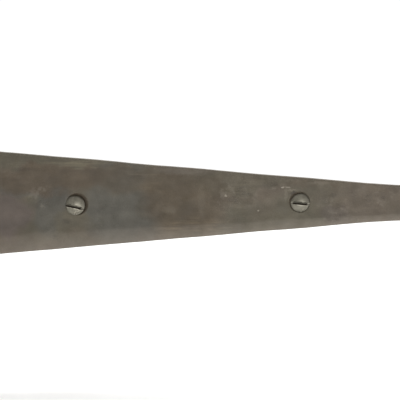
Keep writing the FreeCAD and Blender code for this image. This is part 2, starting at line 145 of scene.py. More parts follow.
def wave(x, z, size, seed):
    """Soft noise from -1 to 1 with features of the given size."""
    return noise.noise(Vector((x / size + seed * 7.31, z / size - seed * 3.17, seed * 1.93)))


def spaced(breaks, step):
    """Values through every break, evenly spaced between two breaks and no further apart than step."""
    values = [breaks[0]]
    for low, high in zip(breaks, breaks[1:]):
        count = max(1, math.ceil((high - low) / step))
        values += [low + (high - low) * k / count for k in range(1, count + 1)]
    return values


def nearest(values, target):
    return min(range(len(values)), key=lambda k: abs(values[k] - target))


def polar(radius, angle, height):
    return Vector((radius * math.cos(angle), radius * math.sin(angle), height))


def bridge(mesh, first, second):
    """Join two closed rings of points with quads."""
    for k in range(len(first)):
        after = (k + 1) % len(first)
        mesh.faces.new([first[k], first[after], second[after], second[k]])


def add_object(name, data):
    thing = bpy.data.objects.new(name, data)
    bpy.context.scene.collection.objects.link(thing)
    return thing


def finish_mesh(name, mesh, material, sharp=40):
    """Turn a bmesh into a smooth-shaded object with one material."""
    bmesh.ops.remove_doubles(mesh, verts=mesh.verts, dist=0.001 * MM)
    bmesh.ops.recalc_face_normals(mesh, faces=mesh.faces)
    for face in mesh.faces:
        face.smooth = True
    for edge in mesh.edges:
        if len(edge.link_faces) == 2 and edge.calc_face_angle(0) > math.radians(sharp):
            edge.smooth = False
    data = bpy.data.meshes.new(name)
    mesh.to_mesh(data)
    mesh.free()
    data.materials.append(material)
    return add_object(name, data)


# -------- forged sheets

def roll_angle(depth):
    """How far round the pin the rolled eye reaches: further inside, where its end is scarfed."""
    share = clamp(depth / LEAF_THICKNESS)
    level = BORE_RADIUS - LAP_GAP
    outer = 2 * math.pi - math.acos(level / BARREL_RADIUS)
    inner = 2 * math.pi - math.acos(level / BORE_RADIUS)
    return inner + (outer - inner) * share


ROLL_LENGTH = roll_angle(LEAF_THICKNESS) * BARREL_RADIUS


def lay(side, s, z, depth):
    """Where a point of a leaf lies: s away from the pin, or round it where s is negative."""
    if s >= 0:
        return Vector((side * s, depth - LEAF_THICKNESS, z))
    turn = -s / ROLL_LENGTH * roll_angle(depth)
    radius = BORE_RADIUS + depth
    return Vector((-side * radius * math.sin(turn), radius * math.cos(turn) - BARREL_RADIUS, z))


class Sheet:
    """A thick forged sheet, built from a grid of cells over its face.

    The grid stops one rim short of the outline, and rings of points carry each edge round to the back.
    A square of cells round each hole gives way to rings that turn into the round countersink.
    """

    def __init__(self, side, grid, inside, holes, relief, wear_and_painted_light):
        self.side, self.grid, self.inside = side, grid, inside
        self.holes, self.relief, self.wear_and_painted_light = holes, relief, wear_and_painted_light
        self.mesh = bmesh.new()
        self.wear_and_light_layer = self.mesh.verts.layers.float.new("wear_and_painted_light")
        self.painted_shade_layer = self.mesh.verts.layers.float.new("painted_shade_and_dirt")

    def vertex(self, s, z, depth, painted_shade_and_dirt=0.0):
        front, back = self.relief(s, z)
        share = depth / LEAF_THICKNESS
        point = self.mesh.verts.new(lay(self.side, s, z, depth + front * (1 - share) - back * share))
        point[self.wear_and_light_layer] = self.wear_and_painted_light(s, z)
        point[self.painted_shade_layer] = painted_shade_and_dirt
        return point

    def build(self):
        columns, rows = len(self.grid) - 1, len(self.grid[0]) - 1
        cells = {(i, j) for i in range(columns) for j in range(rows) if self.inside(i, j)}
        patches = [self.patch(hole.middle) for hole in self.holes]
        open_cells = {cell for low, high in patches for cell in self.cells_between(low, high)}
        corners = {(i + a, j + b) for i, j in cells for a in (0, 1) for b in (0, 1)}
        hidden = {at for (i, j), high in patches for at in self.cells_between((i + 1, j + 1), high)}
        faces = []
        for depth in (0, LEAF_THICKNESS):
            points = {at: self.vertex(*self.grid[at[0]][at[1]], depth) for at in corners - hidden}
            for i, j in cells - open_cells:
                self.mesh.faces.new([points[at] for at in self.around(i, j)])
            faces.append(points)
        for loop in self.boundary(cells):
            self.edge_rings(loop, *faces)
        for hole, (low, high) in zip(self.holes, patches):
            self.hole_rings(hole, self.frame_of(low, high), *faces)
        return self.mesh

    @staticmethod
    def around(i, j):
        return [(i, j), (i + 1, j), (i + 1, j + 1), (i, j + 1)]

    @staticmethod
    def cells_between(low, high):
        return [(i, j) for i in range(low[0], high[0]) for j in range(low[1], high[1])]

    def patch(self, middle):
        """The lowest and highest grid corner of the square that a hole takes."""
        s, z = middle
        across = [column[len(column) // 2][0] for column in self.grid]
        up = [at[1] for at in self.grid[nearest(across, s)]]
        low = (nearest(across, s - PATCH), nearest(up, z - PATCH))
        high = (nearest(across, s + PATCH), nearest(up, z + PATCH))
        return low, high

    @staticmethod
    def frame_of(low, high):
        """The corners round a square of cells, in order."""
        (i0, j0), (i1, j1) = low, high
        return (
            [(i, j0) for i in range(i0, i1)] + [(i1, j) for j in range(j0, j1)]
            + [(i, j1) for i in range(i1, i0, -1)] + [(i0, j) for j in range(j1, j0, -1)]
        )

    def boundary(self, cells):
        """Loops of grid corners round the cells, each with the sheet on its left."""
        following = {}
        for i, j in cells:
            ring = self.around(i, j)
            neighbours = [(i, j - 1), (i + 1, j), (i, j + 1), (i - 1, j)]
            for start, end, beyond in zip(ring, ring[1:] + ring[:1], neighbours):
                if beyond not in cells:
                    following[start] = end
        loops = []
        while following:
            start, here = following.popitem()
            loop = [start]
            while here != start:
                loop.append(here)
                here = following.pop(here)
            loops.append(loop)
        return loops

    def edge_rings(self, loop, front, back):
        places = [Vector(self.grid[i][j]) for i, j in loop]
        count = len(places)
        outward = []
        for k, here in enumerate(places):
            before = (here - places[k - 1]).normalized()
            after = (places[(k + 1) % count] - here).normalized()
            first, second = Vector((before.y, -before.x)), Vector((after.y, -after.x))
            outward.append((first + second) / max(0.3, 1 + first.dot(second)))
        previous = [front[at] for at in loop]
        for ring in range(RIM_RINGS + 1):
            here = []
            for place, way in zip(places, outward):
                front_rim, back_rim = leaf_rims(*place)
                reach, depth = self.rim_point(ring, front_rim, back_rim, place)
                here.append(self.vertex(*(place + way * reach), depth))
            bridge(self.mesh, previous, here)
            previous = here
        bridge(self.mesh, previous, [back[at] for at in loop])

    @staticmethod
    def rim_point(ring, front_rim, back_rim, place):
        """How far out and how deep a ring lies: front curve, side wall, back curve."""
        if ring < RIM_RINGS / 2:
            angle = math.radians(RIM_STEP * ring)
            return RIM - front_rim * (1 - math.sin(angle)), front_rim * (1 - math.cos(angle))
        if ring == RIM_RINGS / 2:
            return RIM + 0.12 * MM * wave(*place, 9 * MM, 4), LEAF_THICKNESS / 2
        angle = math.radians(RIM_STEP * (RIM_RINGS - ring))
        return RIM - back_rim * (1 - math.sin(angle)), LEAF_THICKNESS - back_rim * (1 - math.cos(angle))

    def hole_rings(self, hole, loop, front, back):
        """From the square on the face, down the countersink and bore, out to the square on the back."""
        places = [Vector(self.grid[i][j]) for i, j in loop]
        ways = [(place - hole.middle).normalized() for place in places]
        back_mouth = HOLE_RADIUS + 0.2 * MM
        previous = [front[at] for at in loop]

        def ring(points):
            nonlocal previous
            bridge(self.mesh, previous, points)
            previous = points

        def wall_ring(share, depth, shades):
            ring([self.vertex(*hole.at(way, share), depth, shade) for way, shade in zip(ways, shades)])
            for point in previous:
                hole.make_room(point)

        for step in range(1, PATCH_RINGS):
            share = step / PATCH_RINGS
            ring([self.vertex(*place.lerp(hole.at(way, WALL_RINGS[0][0]), share), 0)
                  for place, way in zip(places, ways)])
        # Down the countersink the wall gets painted shade ring by ring, least where the head jams; down
        # the bore it is painted fully dark.
        for share, painted_shade_and_dirt in WALL_RINGS:
            wall_ring(share, max(0, share) * hole.seat_depth, [painted_shade_and_dirt * hole.gap(way) for way in ways])
        for depth in (0.6 * LEAF_THICKNESS, LEAF_THICKNESS - 0.2 * MM):
            wall_ring(1, depth, [1.0] * len(ways))
        for step in range(PATCH_RINGS):
            share = step / PATCH_RINGS
            ring([self.vertex(*(hole.bore + way * back_mouth).lerp(place, share), LEAF_THICKNESS)
                  for place, way in zip(places, ways)])
        bridge(self.mesh, previous, [back[at] for at in loop])


def screw_radius(level):
    """The screw's radius at a height over the leaf's face: domed crown, short band, cone, shank."""
    if level > -HEAD_DEPTH:
        rise = level - CROWN + DOME_RADIUS
        return math.sqrt(max(0, DOME_RADIUS ** 2 - rise ** 2)) if level < CROWN else 0
    below = -HEAD_DEPTH - HEAD_BAND - level
    return max(SHANK_RADIUS, HEAD_RADIUS - max(0, below) * SEAT_SLOPE)


def seated(node):
    """Where a screw sits: off the middle of its hole, with its slot turned, as its SEATS row says.

    It leans a little, and where its head rides up one side of the countersink it stands proud.
    """
    slot_angle = SEATS[node][0]
    (across, up), (mouth_across, mouth_up) = SEATS[node][3:5]
    low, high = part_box(node)
    centre = Vector(((low.x + high.x) / 2, -LEAF_THICKNESS, (low.z + high.z) / 2))
    shift = Vector((across, 0, up)) * MM
    riding = math.hypot(across - mouth_across, up - mouth_up)
    proud = Vector((0, -PROUD * smooth(riding, 0.5, 1.1), 0))
    facing = Matrix.Rotation(math.radians(90), 4, "X")
    turn = Matrix.Rotation(math.radians(slot_angle), 4, "Z")
    lean = Matrix.Rotation(LEAN * shift.length / MM, 4, Vector((shift.z, 0, -shift.x)))
    return Matrix.Translation(centre + shift + proud) @ lean @ facing @ turn


class Hole:
    """A hand-cut countersunk hole: not quite round, and its mouth not quite over its bore."""

    def __init__(self, side, node):
        low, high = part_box(node)
        head, mouth, radius = SEATS[node][3:]
        self.middle = Vector((side * (low.x + high.x) / 2, (low.z + high.z) / 2))
        self.drift = Vector((side * mouth[0], mouth[1])) * MM
        self.head_shift = Vector((side * head[0], head[1])) * MM
        self.bore = self.middle + BORE_FOLLOWS * self.head_shift
        self.mouth = radius * MM
        self.seat_depth = (self.mouth - HOLE_RADIUS) / SEAT_SLOPE
        self.screw = seated(node)

    def make_room(self, point):
        """Move a point of the wall out of the screw, square to the screw's own axis."""
        place = self.screw.inverted() @ point.co
        reach = screw_radius(place.z) + SCREW_CLEARANCE
        across = place.xy.length
        if 0 < across < reach:
            place.xy *= reach / across
            point.co = self.screw @ place

    def at(self, way, share):
        """A point of the countersink's wall: share is 0 at its mouth and 1 where it meets the bore."""
        up = 1 - max(0, share)
        radius = self.mouth + share * (HOLE_RADIUS - self.mouth)
        ragged = 0.09 * MM * wave(way.x + self.middle.x / MM, way.y, 0.8, 6) * up
        return self.bore.lerp(self.middle + self.drift, up) + way * (radius + ragged)

    def gap(self, way):
        """How much painted shade falls in the gap round the head in one direction: none where the head
        jams in it.
        """
        room = self.mouth - HEAD_RADIUS + (self.drift - self.head_shift).dot(way)
        return smooth(room, 0.1 * MM, 0.9 * MM)


# -------- the strap

def strap_half_width(s, inset):
    """Half the strap's width at s, for an outline that lies inset inside the real one."""
    neck_up = HALF_NECK + NECK_RADIUS
    between = NECK_RADIUS + SPEAR_RADIUS
    neck_s = SPEAR_CENTRE - math.sqrt(between ** 2 - (neck_up + SPEAR_BELOW) ** 2)
    crossing = ROOT_REACH + (HALF_ROOT - HALF_NECK) / math.tan(TAPER)
    blend = (neck_s - crossing) / math.tan(TAPER / 2)
    tip_s = STRAP_TIP - TIP_RADIUS
    spread = Vector((tip_s - SPEAR_CENTRE, SPEAR_BELOW))
    lean = math.atan2(spread.y, spread.x) + math.acos((SPEAR_RADIUS - TIP_RADIUS) / spread.length)

    if s < neck_s - (blend + inset) * math.sin(TAPER):
        slope = HALF_ROOT - (s - ROOT_REACH) * math.tan(TAPER) - inset / math.cos(TAPER)
        return min(HALF_ROOT - inset, slope)
    if s < neck_s:
        return HALF_NECK + blend - math.sqrt((blend + inset) ** 2 - (neck_s - s) ** 2)
    if s < neck_s + (SPEAR_CENTRE - neck_s) * (NECK_RADIUS + inset) / between:
        return neck_up - math.sqrt((NECK_RADIUS + inset) ** 2 - (s - neck_s) ** 2)
    side_start = SPEAR_CENTRE + (SPEAR_RADIUS - inset) * math.cos(lean)
    if s < side_start:
        return math.sqrt((SPEAR_RADIUS - inset) ** 2 - (s - SPEAR_CENTRE) ** 2) - SPEAR_BELOW
    if s < tip_s + (TIP_RADIUS - inset) * math.cos(lean):
        start_up = (SPEAR_RADIUS - inset) * math.sin(lean) - SPEAR_BELOW
        return start_up - (s - side_start) / math.tan(lean)
    return math.sqrt(max(0, (TIP_RADIUS - inset) ** 2 - (s - tip_s) ** 2))


def strap_grid():
    """Face points from the end of the rolled eye to the tip; the long edges wander as forged ones do."""
    last = STRAP_TIP - TIP_RADIUS + (TIP_RADIUS - RIM) * math.cos(math.radians(35))
    lines = spaced([RIM - ROLL_LENGTH, 0, ROOT_REACH, STRAP_TIP - 10 * MM], CELL)
    lines += spaced([STRAP_TIP - 10 * MM, last], 0.4 * MM)[1:]
    grid = []
    for s in lines:
        half = strap_half_width(s, RIM)
        free = smooth(s, ROOT_REACH, 40 * MM) * smooth(half, 1 * MM, 6 * MM)
        round_off = 0.7 * MM * smooth(s, STRAP_TIP - 5 * MM, STRAP_TIP)
        column = []
        for row in range(STRAP_ROWS + 1):
            v = 2 * row / STRAP_ROWS - 1
            edge = 1 if v > 0 else -1
            wander = 0.26 * wave(s, edge * 40 * MM, 27 * MM, 2) + 0.05 * wave(s, edge * 9 * MM, 6 * MM, 3)
            column.append((s + round_off * (1 - v * v), v * (half + wander * MM * free)))
        grid.append(column)
    return grid


def calm_near(holes, s, z):
    """How much of the hammering is left near a hole, where the face was dressed flat."""
    near_hole = min((Vector((s, z)) - hole.middle).length for hole in holes)
    return 0.35 + 0.65 * smooth(near_hole, MOUTH_RADIUS, 2 * MOUTH_RADIUS)


def eye_knocks(s, z, seed):
    """How far the outside of a rolled eye is hammered in."""
    return (0.09 + 0.09 * wave(s, z, 9 * MM, seed) + 0.03 * wave(s, z, 4 * MM, seed + 1)) * MM


def strap_relief(holes):
    """How far the strap's face and back sink below the flat: soft blows, and edges drawn thin."""
    def relief(s, z):
        if s < 0:
            return 0.0, eye_knocks(s, z, 11)
        half = strap_half_width(s, 0)
        from_edge = half - abs(z)
        flat = smooth(s, 2 * MM, 22 * MM)
        calm = calm_near(holes, s, z)
        blows = 0.11 * wave(s, z, 34 * MM, 1) + 0.05 * wave(s, z, 10 * MM, 5)
        face = blows + 0.012 * wave(s, z, 3.4 * MM, 8)
        share, drop = (0.3, 0.5) if z < 0 else (0.16, 0.22)
        drawn = clamp(1 - from_edge / max(1 * MM, share * half)) ** 2
        fall = drop * drawn * smooth(half, 3 * MM, 9 * MM)
        back = 0.05 * wave(s, z, 16 * MM, 9) + 0.05
        return (face * calm + fall) * MM * flat, back * MM * flat
    return relief


def leaf_rims(s, z):
    """Soft front edges and crisper back ones; round the pin it is the outside that is soft."""
    flat = smooth(s, -2 * MM, 3 * MM)
    lift = 0.15 * wave(s, z, 7 * MM, 13)
    front = (0.3 + 0.45 * flat + lift * flat) * MM
    back = (0.75 - 0.4 * flat + lift * (1 - flat)) * MM
    return front, back


def strap_wear_and_lower_light(s, z):
    """Brightest along the lower edge, in a band that narrows with the strap: partly worn-bright metal and
    partly painted light from below. The upper edge gets only a thin worn line.
    """
    half = strap_half_width(s, 0)
    from_edge = max(0, half - abs(z))
    if z > 0:
        return 0.45 * math.exp(-from_edge / (0.8 * MM))
    band = max(1 * MM, 0.38 * half) * (1 + 0.16 * wave(s, 0, 18 * MM, 14))
    share = from_edge / band
    wear_and_light_share = 0.24 * smooth(share, 1.08, 0.8) + 0.61 * clamp(1 - share) ** 1.2
    return wear_and_light_share + 0.15 * math.exp(-from_edge / (1 * MM))


def make_strap(material):
    holes = [Hole(1, node) for node in STRAP_SCREWS]
    relief = strap_relief(holes)
    sheet = Sheet(1, strap_grid(), lambda i, j: True, holes, relief, strap_wear_and_lower_light)
    return finish_mesh("forged_strap", sheet.build(), material)


# -------- the jamb leaf

def jamb_grid():
    """Face points of the plate and of its two eyes; beyond the eyes the grid has gaps."""
    cut = JAMB_FAR + JAMB_TOP - JAMB_CORNER - RIM * math.sqrt(2)
    far, near, top = JAMB_FAR - RIM, JAMB_NEAR + RIM, JAMB_TOP - RIM
    eye_low, eye_high = JAMB_EYE_BASE + RIM, JAMB_EYE_TOP - RIM
    across = spaced([RIM - ROLL_LENGTH, 0, near, far], CELL)
    upper = [eye_low, eye_high, cut - far, top]
    up = spaced([-z for z in reversed(upper)] + [0] + upper, CELL)
    grid = []
    for s in across:
        column = []
        for z in up:
            room = min(far, cut - abs(z)) - near
            inner = max(0, s - near)
            place = min(s, near) + inner * room / (far - near)
            stir = 0.22 * MM * smooth(s, near, near + 6 * MM)
            across_stir = stir * wave(z, 0, 30 * MM, 21)
            column.append((place + across_stir, z + stir * wave(place, z, 26 * MM, 22)))
        grid.append(column)

    def inside(i, j):
        s = (across[i] + across[i + 1]) / 2
        z = abs(up[j] + up[j + 1]) / 2
        return s > near or eye_low < z < eye_high

    return grid, inside


def jamb_relief(holes):
    def relief(s, z):
        if s < 0:
            return 0.0, eye_knocks(s, z, 23)
        flat = smooth(s, 1 * MM, 18 * MM)
        calm = calm_near(holes, s, z)
        face = 0.1 * wave(s, z, 26 * MM, 25) + 0.06 * wave(s, z, 9 * MM, 26)
        edge = clamp(1 - jamb_edge_distance(s, z) / (4 * MM)) ** 2
        back = 0.05 * wave(s, z, 16 * MM, 27) + 0.05
        return (face * calm + 0.25 * edge) * MM * flat, back * MM * flat
    return relief


def jamb_edge_distance(s, z):
    up = abs(z)
    clipped = (JAMB_FAR + JAMB_TOP - JAMB_CORNER - s - up) / math.sqrt(2)
    nearest_edge = min(JAMB_FAR - s, JAMB_TOP - up, clipped)
    if JAMB_EYE_BASE < up < JAMB_EYE_TOP:
        if s < JAMB_NEAR:
            return min(up - JAMB_EYE_BASE, JAMB_EYE_TOP - up)
        return nearest_edge
    return min(nearest_edge, s - JAMB_NEAR)


def jamb_wear(s, z):
    return math.exp(-max(0, jamb_edge_distance(s, z)) / (2.2 * MM))


def make_jamb(material):
    holes = [Hole(-1, node) for node in JAMB_SCREWS]
    grid, inside = jamb_grid()
    sheet = Sheet(-1, grid, inside, holes, jamb_relief(holes), jamb_wear)
    return finish_mesh("forged_jamb_leaf", sheet.build(), material)


# -------- pin and washers

def mirrored(upper):
    """The lower half of a profile whose upper half is given."""
    return [(radius, -height) for radius, height in reversed(upper)]


def turned(name, profile, shape, material):
    """Turn a profile of (radius, height) round the Z axis; shape moves each point a little."""
    mesh = bmesh.new()
    rings = []
    for radius, height in profile:
        ring = []
        for k in range(TURNED_SIDES):
            angle = 2 * math.pi * k / TURNED_SIDES
            ring.append(mesh.verts.new(shape(polar(radius, angle, height))))
        rings.append(ring)
    for first, second in zip(rings, rings[1:]):
        bridge(mesh, first, second)
    return finish_mesh(name, mesh, material)


def make_pin(material):
    """A plain shaft with a head hammered up at each end, faceted by the blows."""
    half = pin_high.z
    head = pin_high.x
    base = half - PIN_HEAD
    rim = base + PIN_HEAD_RIM
    rise = half - rim
    dome = (head ** 2 + rise ** 2) / (2 * rise)
    outer = head - 0.35 * MM
    cap = []
    for step in range(13):
        radius = outer * math.cos(math.radians(7.5 * step))
        cap.append((radius, half - dome + math.sqrt(dome ** 2 - radius ** 2)))
    edge = [(PIN_RADIUS, base), (head - 0.3 * MM, base), (head - 0.05 * MM, base + 0.25 * MM),
            (head - 0.05 * MM, rim - 0.2 * MM)]
    upper = [(PIN_RADIUS, height * MM) for height in (0, 20, 40, 60)] + edge + cap
    profile = mirrored(upper[1:]) + upper

    def blows(point):
        reach = abs(point.z)
        depth = smooth(reach, rim - 0.4 * MM, rim + 0.6 * MM)
        dent = wave(point.x, point.y + point.z, 3.1 * MM, 31) + 0.5 * wave(point.x, point.y, 1.4 * MM, 32)
        sink = (0.16 + 0.16 * dent) * MM * depth
        out = 1 + 0.012 * wave(point.x, point.y, 5 * MM, 33) * smooth(reach, base, rim)
        up = point.z - math.copysign(sink, point.z)
        return Vector((point.x * min(out, 1), point.y * min(out, 1) - BARREL_RADIUS, up))

    return turned("peened_pin", profile, blows, material)


def make_washer(node, material):
    """A flat ring with worn corners, never quite flat or round."""
    low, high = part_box(node)
    middle = (low.z + high.z) / 2
    thick = (high.z - low.z) / 2
    outer = high.x
    inner = BORE_RADIUS
    soft = 0.35 * MM
    upper = [(outer, thick - soft), (outer - 0.3 * soft, thick - 0.3 * soft), (outer - soft, thick),
             (inner + soft / 2, thick), (inner, thick - soft / 2)]
    lower = mirrored(upper)
    seed = 40 + NODES.index(node)

    def worn(point):
        share = smooth(math.hypot(point.x, point.y), inner, outer)
        out = 1 - 0.012 * share * (1 + wave(point.x, point.y, 6 * MM, seed))
        return Vector((point.x * out, point.y * out - BARREL_RADIUS, middle + point.z))

    return turned("worn_" + node, lower + upper + lower[:1], worn, material)


# -------- wood screws

THREAD_ROOT = 1.65 * MM
THREAD_PITCH = 2 * MM
THREAD_LENGTH = 24 * MM
POINT_LENGTH = 5 * MM
SCREW_LENGTH = 38 * MM
SCREW_TIP = -HEAD_DEPTH - SCREW_LENGTH
CROWN_RADIUS = HEAD_RADIUS - 0.14 * MM
SLOT_HALF = 0.55 * MM
SLOT_DEPTH = 1.7 * MM
SLOT_WALL = 0.05 * MM
HEAD_COLUMNS = 44
SLOT_ROWS = [SLOT_HALF + out * MM for out in (-0.3, -0.05, 0.05, 0.2, 0.4)]


def head_rows(offset):
    """Angles up the head, evenly spaced but for the rows that follow the slot's floor and edges."""
    slot = [offset] + [offset + side * row for side in (-1, 1) for row in SLOT_ROWS]
    slot = sorted(math.asin(row / CROWN_RADIUS) for row in slot)
    step = math.radians(3)
    return spaced([-math.pi / 2, slot[0]], step)[:-1] + slot + spaced([slot[-1], math.pi / 2], step)[1:]


class Head:
    """The crown of one old screw, whose slot drivers have slipped in and torn."""

    def __init__(self, offset, chew, seed):
        self.offset, self.chew, self.seed = offset, chew, seed

    def height(self, u, v):
        return CROWN - DOME_RADIUS + math.sqrt(DOME_RADIUS ** 2 - u * u - v * v)

    def floor(self, u):
        """The slot's floor: it rises at the end battered shut, and less at the other if little used."""
        battered = 0.55 * smooth(u, 2.4 * MM, 3.4 * MM)
        clogged = 0.5 * (1 - self.chew) * smooth(-u, 2.6 * MM, 3.6 * MM)
        return CROWN - SLOT_DEPTH + (battered + clogged) * MM

    def rough(self, u, v):
        return wave(u, v, 0.8 * MM, self.seed) + 0.6 * wave(u, v, 0.4 * MM, self.seed + 1)

    def bite(self, u, v):
        """Where a driver has torn the rim."""
        return smooth(math.hypot(u - 1.8 * MM, v + 3.9 * MM), 2.0 * MM, 0.5 * MM) * self.chew

    def torn(self, u, v):
        """How far the face is dented: most beside the slot, and in one ragged bite at the rim."""
        beside = smooth(abs(v - self.offset), 2.2 * MM, SLOT_HALF)
        soft = wave(u, v, 2.2 * MM, self.seed + 2)
        return (0.05 * soft + (0.12 * self.chew * beside + 0.5 * self.bite(u, v)) * self.rough(u, v)) * MM

    def place(self, u, v):
        """A point of the crown. The slot's upper lip is torn back, and its lower lip only nicked."""
        across = v - self.offset
        if abs(across) < SLOT_HALF:
            return u, v, self.floor(u)
        lip = 1 - smooth(abs(across), SLOT_HALF + SLOT_WALL, SLOT_HALF + 0.5 * MM)
        side = math.copysign(1, across)
        ragged = wave(u, side * 5 * MM, 1.6 * MM, self.seed + 3)
        ragged += 0.5 * wave(u, side * 5 * MM, 0.6 * MM, self.seed + 5)
        upper, lower = clamp(0.22 + 0.35 * ragged, -0.05, 0.45), clamp(0.12 * ragged, -0.05, 0.2)
        torn_back = upper if side > 0 else lower
        burr = 0.1 * self.chew * lip * MM * wave(u, side * 9 * MM, 0.9 * MM, self.seed + 4)
        aside = side * torn_back * lip * (0.4 + 0.6 * self.chew) * MM
        return u, v + aside, self.height(u, v) + self.torn(u, v) + burr

    def shade(self, u, v):
        """How dark the painted shade and dirt are: painted shade deep in the slot and along its lower
        side, where the lip's shadow falls, less at its shallow ends, with dirt packed into one end; at
        the rim, patchy painted shade, heaviest on the upper left for a level slot.
        """
        across = v - self.offset
        if abs(across) < SLOT_HALF:
            packed = self.chew * smooth(-u, 2.8 * MM, 3.8 * MM)
            deep = smooth(self.height(u, v) - self.floor(u), 0.25 * MM, 0.8 * MM)
            # Darker on the slot's lower side, where the lower lip's shadow falls: painted shadow.
            return max(deep, 0.85 * packed, 0.35) * (1 - 0.8 * smooth(across, 0.05 * MM, 0.4 * MM))
        rim = smooth(math.hypot(u, v), HEAD_RADIUS - 1.2 * MM, HEAD_RADIUS)
        # Painted shade round the rim, heaviest on the upper left for a level slot, broken up by noise.
        shaded_side = 0.42 + (0.42 * v - 0.22 * u) / HEAD_RADIUS
        return rim * clamp(shaded_side + 0.6 * wave(u, v, 2.6 * MM, self.seed + 6))

    def bright(self, u, v):
        """Newly bared metal with a painted glint on the crests of the bite, and a thin painted highlight
        on the slot's lower lip.
        """
        lower = v - self.offset + SLOT_HALF
        line = smooth(abs(lower + 0.25 * MM), 0.35 * MM, 0.05 * MM)
        highlight_breaks = clamp(0.45 + 0.8 * wave(u, 0, 1.1 * MM, self.seed + 7))
        return max(clamp(2.2 * self.rough(u, v)) * self.bite(u, v), 0.5 * line * highlight_breaks)


def screw_mesh(offset, chew, seed):
    """A slotted raised countersunk screw along Z, with its crown up and its slot along X."""
    mesh = bmesh.new()
    painted_shade_and_dirt = mesh.verts.layers.float.new("painted_shade_and_dirt")
    fresh_metal_and_glint = mesh.verts.layers.float.new("fresh_metal_and_glint")
    rows = head_rows(offset)
    head = Head(offset, chew, seed)
    grid = []
    for row in rows:
        v = CROWN_RADIUS * math.sin(row)
        reach = CROWN_RADIUS * math.cos(row)
        line = []
        for column in range(HEAD_COLUMNS + 1):
            u = reach * (2 * column / HEAD_COLUMNS - 1)
            point = mesh.verts.new(head.place(u, v))
            point[painted_shade_and_dirt] = head.shade(u, v)
            point[fresh_metal_and_glint] = head.bright(u, v)
            line.append(point)
        grid.append(line)
    for first, second in zip(grid, grid[1:]):
        for k in range(HEAD_COLUMNS):
            mesh.faces.new([first[k], first[k + 1], second[k + 1], second[k]])

    # Round the head: up its right side, then down its left. The first and last rows are single points.
    right = [(row, line[-1]) for row, line in zip(rows, grid)]
    left = [(math.pi - row, line[0]) for row, line in zip(rows[1:-1], grid[1:-1])]
    angles, rim = zip(*right, *reversed(left))

    def ring(radius, level, dark=0.0, more_above=0.0):
        points = []
        for angle, top in zip(angles, rim):
            points.append(mesh.verts.new(polar(radius, angle, min(level, top.co.z))))
            points[-1][painted_shade_and_dirt] = clamp(dark + more_above * math.sin(angle))
        return points

    under = -HEAD_DEPTH - HEAD_BAND
    neck = under - (HEAD_RADIUS - SHANK_RADIUS) / SEAT_SLOPE
    thread_top = SCREW_TIP + THREAD_LENGTH
    # The band under the crown's rim carries painted shade, heavier on the upper side for a level slot;
    # the neck under the head is painted fully dark: painted shade.
    rings = [ring(HEAD_RADIUS, level, 0.36, 0.44) for level in (-HEAD_DEPTH - 0.1 * MM, under)]
    rings += [ring(SHANK_RADIUS + 0.25 * MM, neck + 0.3 * MM, 1.0), ring(SHANK_RADIUS, neck, 1.0)]
    rings += [ring(SHANK_RADIUS, neck + (thread_top - neck) * share) for share in (0.35, 0.7, 1)]
    previous = rim
    for points in rings:
        bridge(mesh, previous, points)
        previous = points
    cut_thread(mesh, angles, previous, thread_top)
    return mesh


def cut_thread(mesh, angles, top_ring, top):
    """A right-hand thread swept down to the gimlet point, closed on to the plain shank's last ring."""
    order = [0] + list(range(len(angles) - 1, 0, -1))
    ring = [top_ring[k] for k in order]
    drop = [((angles[0] - angles[k]) % (2 * math.pi)) / (2 * math.pi) for k in order]
    count = len(ring)
    profile = [(0.0, 0.0), (0.28, 0.0), (0.44, 0.92), (0.5, 1.0), (0.56, 0.92), (0.72, 0.0)]
    turns = int(THREAD_LENGTH / THREAD_PITCH) - 1

    def point(step, phase, share):
        turn, k = divmod(step, count)
        down = turn + drop[k] + phase
        level = top - down * THREAD_PITCH
        depth = smooth(down, 0.0, 1.2)
        radius = SHANK_RADIUS - depth * (1 - share) * (SHANK_RADIUS - THREAD_ROOT)
        radius *= clamp((level - SCREW_TIP) / POINT_LENGTH, 0.08, 1)
        return mesh.verts.new(polar(radius, angles[0] - 2 * math.pi * drop[k], level))

    steps = turns * count
    sweep = [[point(step, phase, share) for phase, share in profile] for step in range(steps + 1)]
    for step in range(steps + 1):
        after = step + count
        sweep[step].append(sweep[after][0] if after <= steps else point(after, 0.0, 0.0))
    for first, second in zip(sweep, sweep[1:]):
        for k in range(len(profile)):
            mesh.faces.new([first[k], second[k], second[k + 1], first[k + 1]])
    for k in range(count - 1):
        mesh.faces.new([ring[k], ring[k + 1], sweep[k + 1][0], sweep[k][0]])
    mesh.faces.new([ring[-1], ring[0]] + sweep[0] + [sweep[count - 1][0]])
    tail = [sweep[step][-1] for step in range(steps - count, steps + 1)]
    tip = mesh.verts.new((0, 0, SCREW_TIP))
    for first, second in zip(tail, tail[1:]):
        mesh.faces.new([first, tip, second])
    mesh.faces.new([tip, tail[-1]] + sweep[-1][-2::-1])


def make_screw(node, material):
    slot_offset, chew = SEATS[node][1:3]
    mesh = screw_mesh(slot_offset * MM, chew, 50 + 3 * NODES.index(node))
    bmesh.ops.transform(mesh, matrix=seated(node), verts=mesh.verts)
    return finish_mesh("slotted_" + node, mesh, material, sharp=35)


# -------- materials

class Nodes:
    """A node tree, emptied first."""

    def __init__(self, owner):
        owner.use_nodes = True
        self.tree = owner.node_tree
        self.tree.nodes.clear()

    def feed(self, socket, value):
        if isinstance(value, bpy.types.NodeSocket):
            self.tree.links.new(value, socket)
        else:
            socket.default_value = value

    def add(self, kind, values, **settings):
        """A node with its settings made, and its inputs fed by name or by number."""
        node = self.tree.nodes.new("ShaderNode" + kind)
        for name, value in settings.items():
            setattr(node, name, value)
        for name, value in values.items():
            self.feed(node.inputs[name], value)
        return node


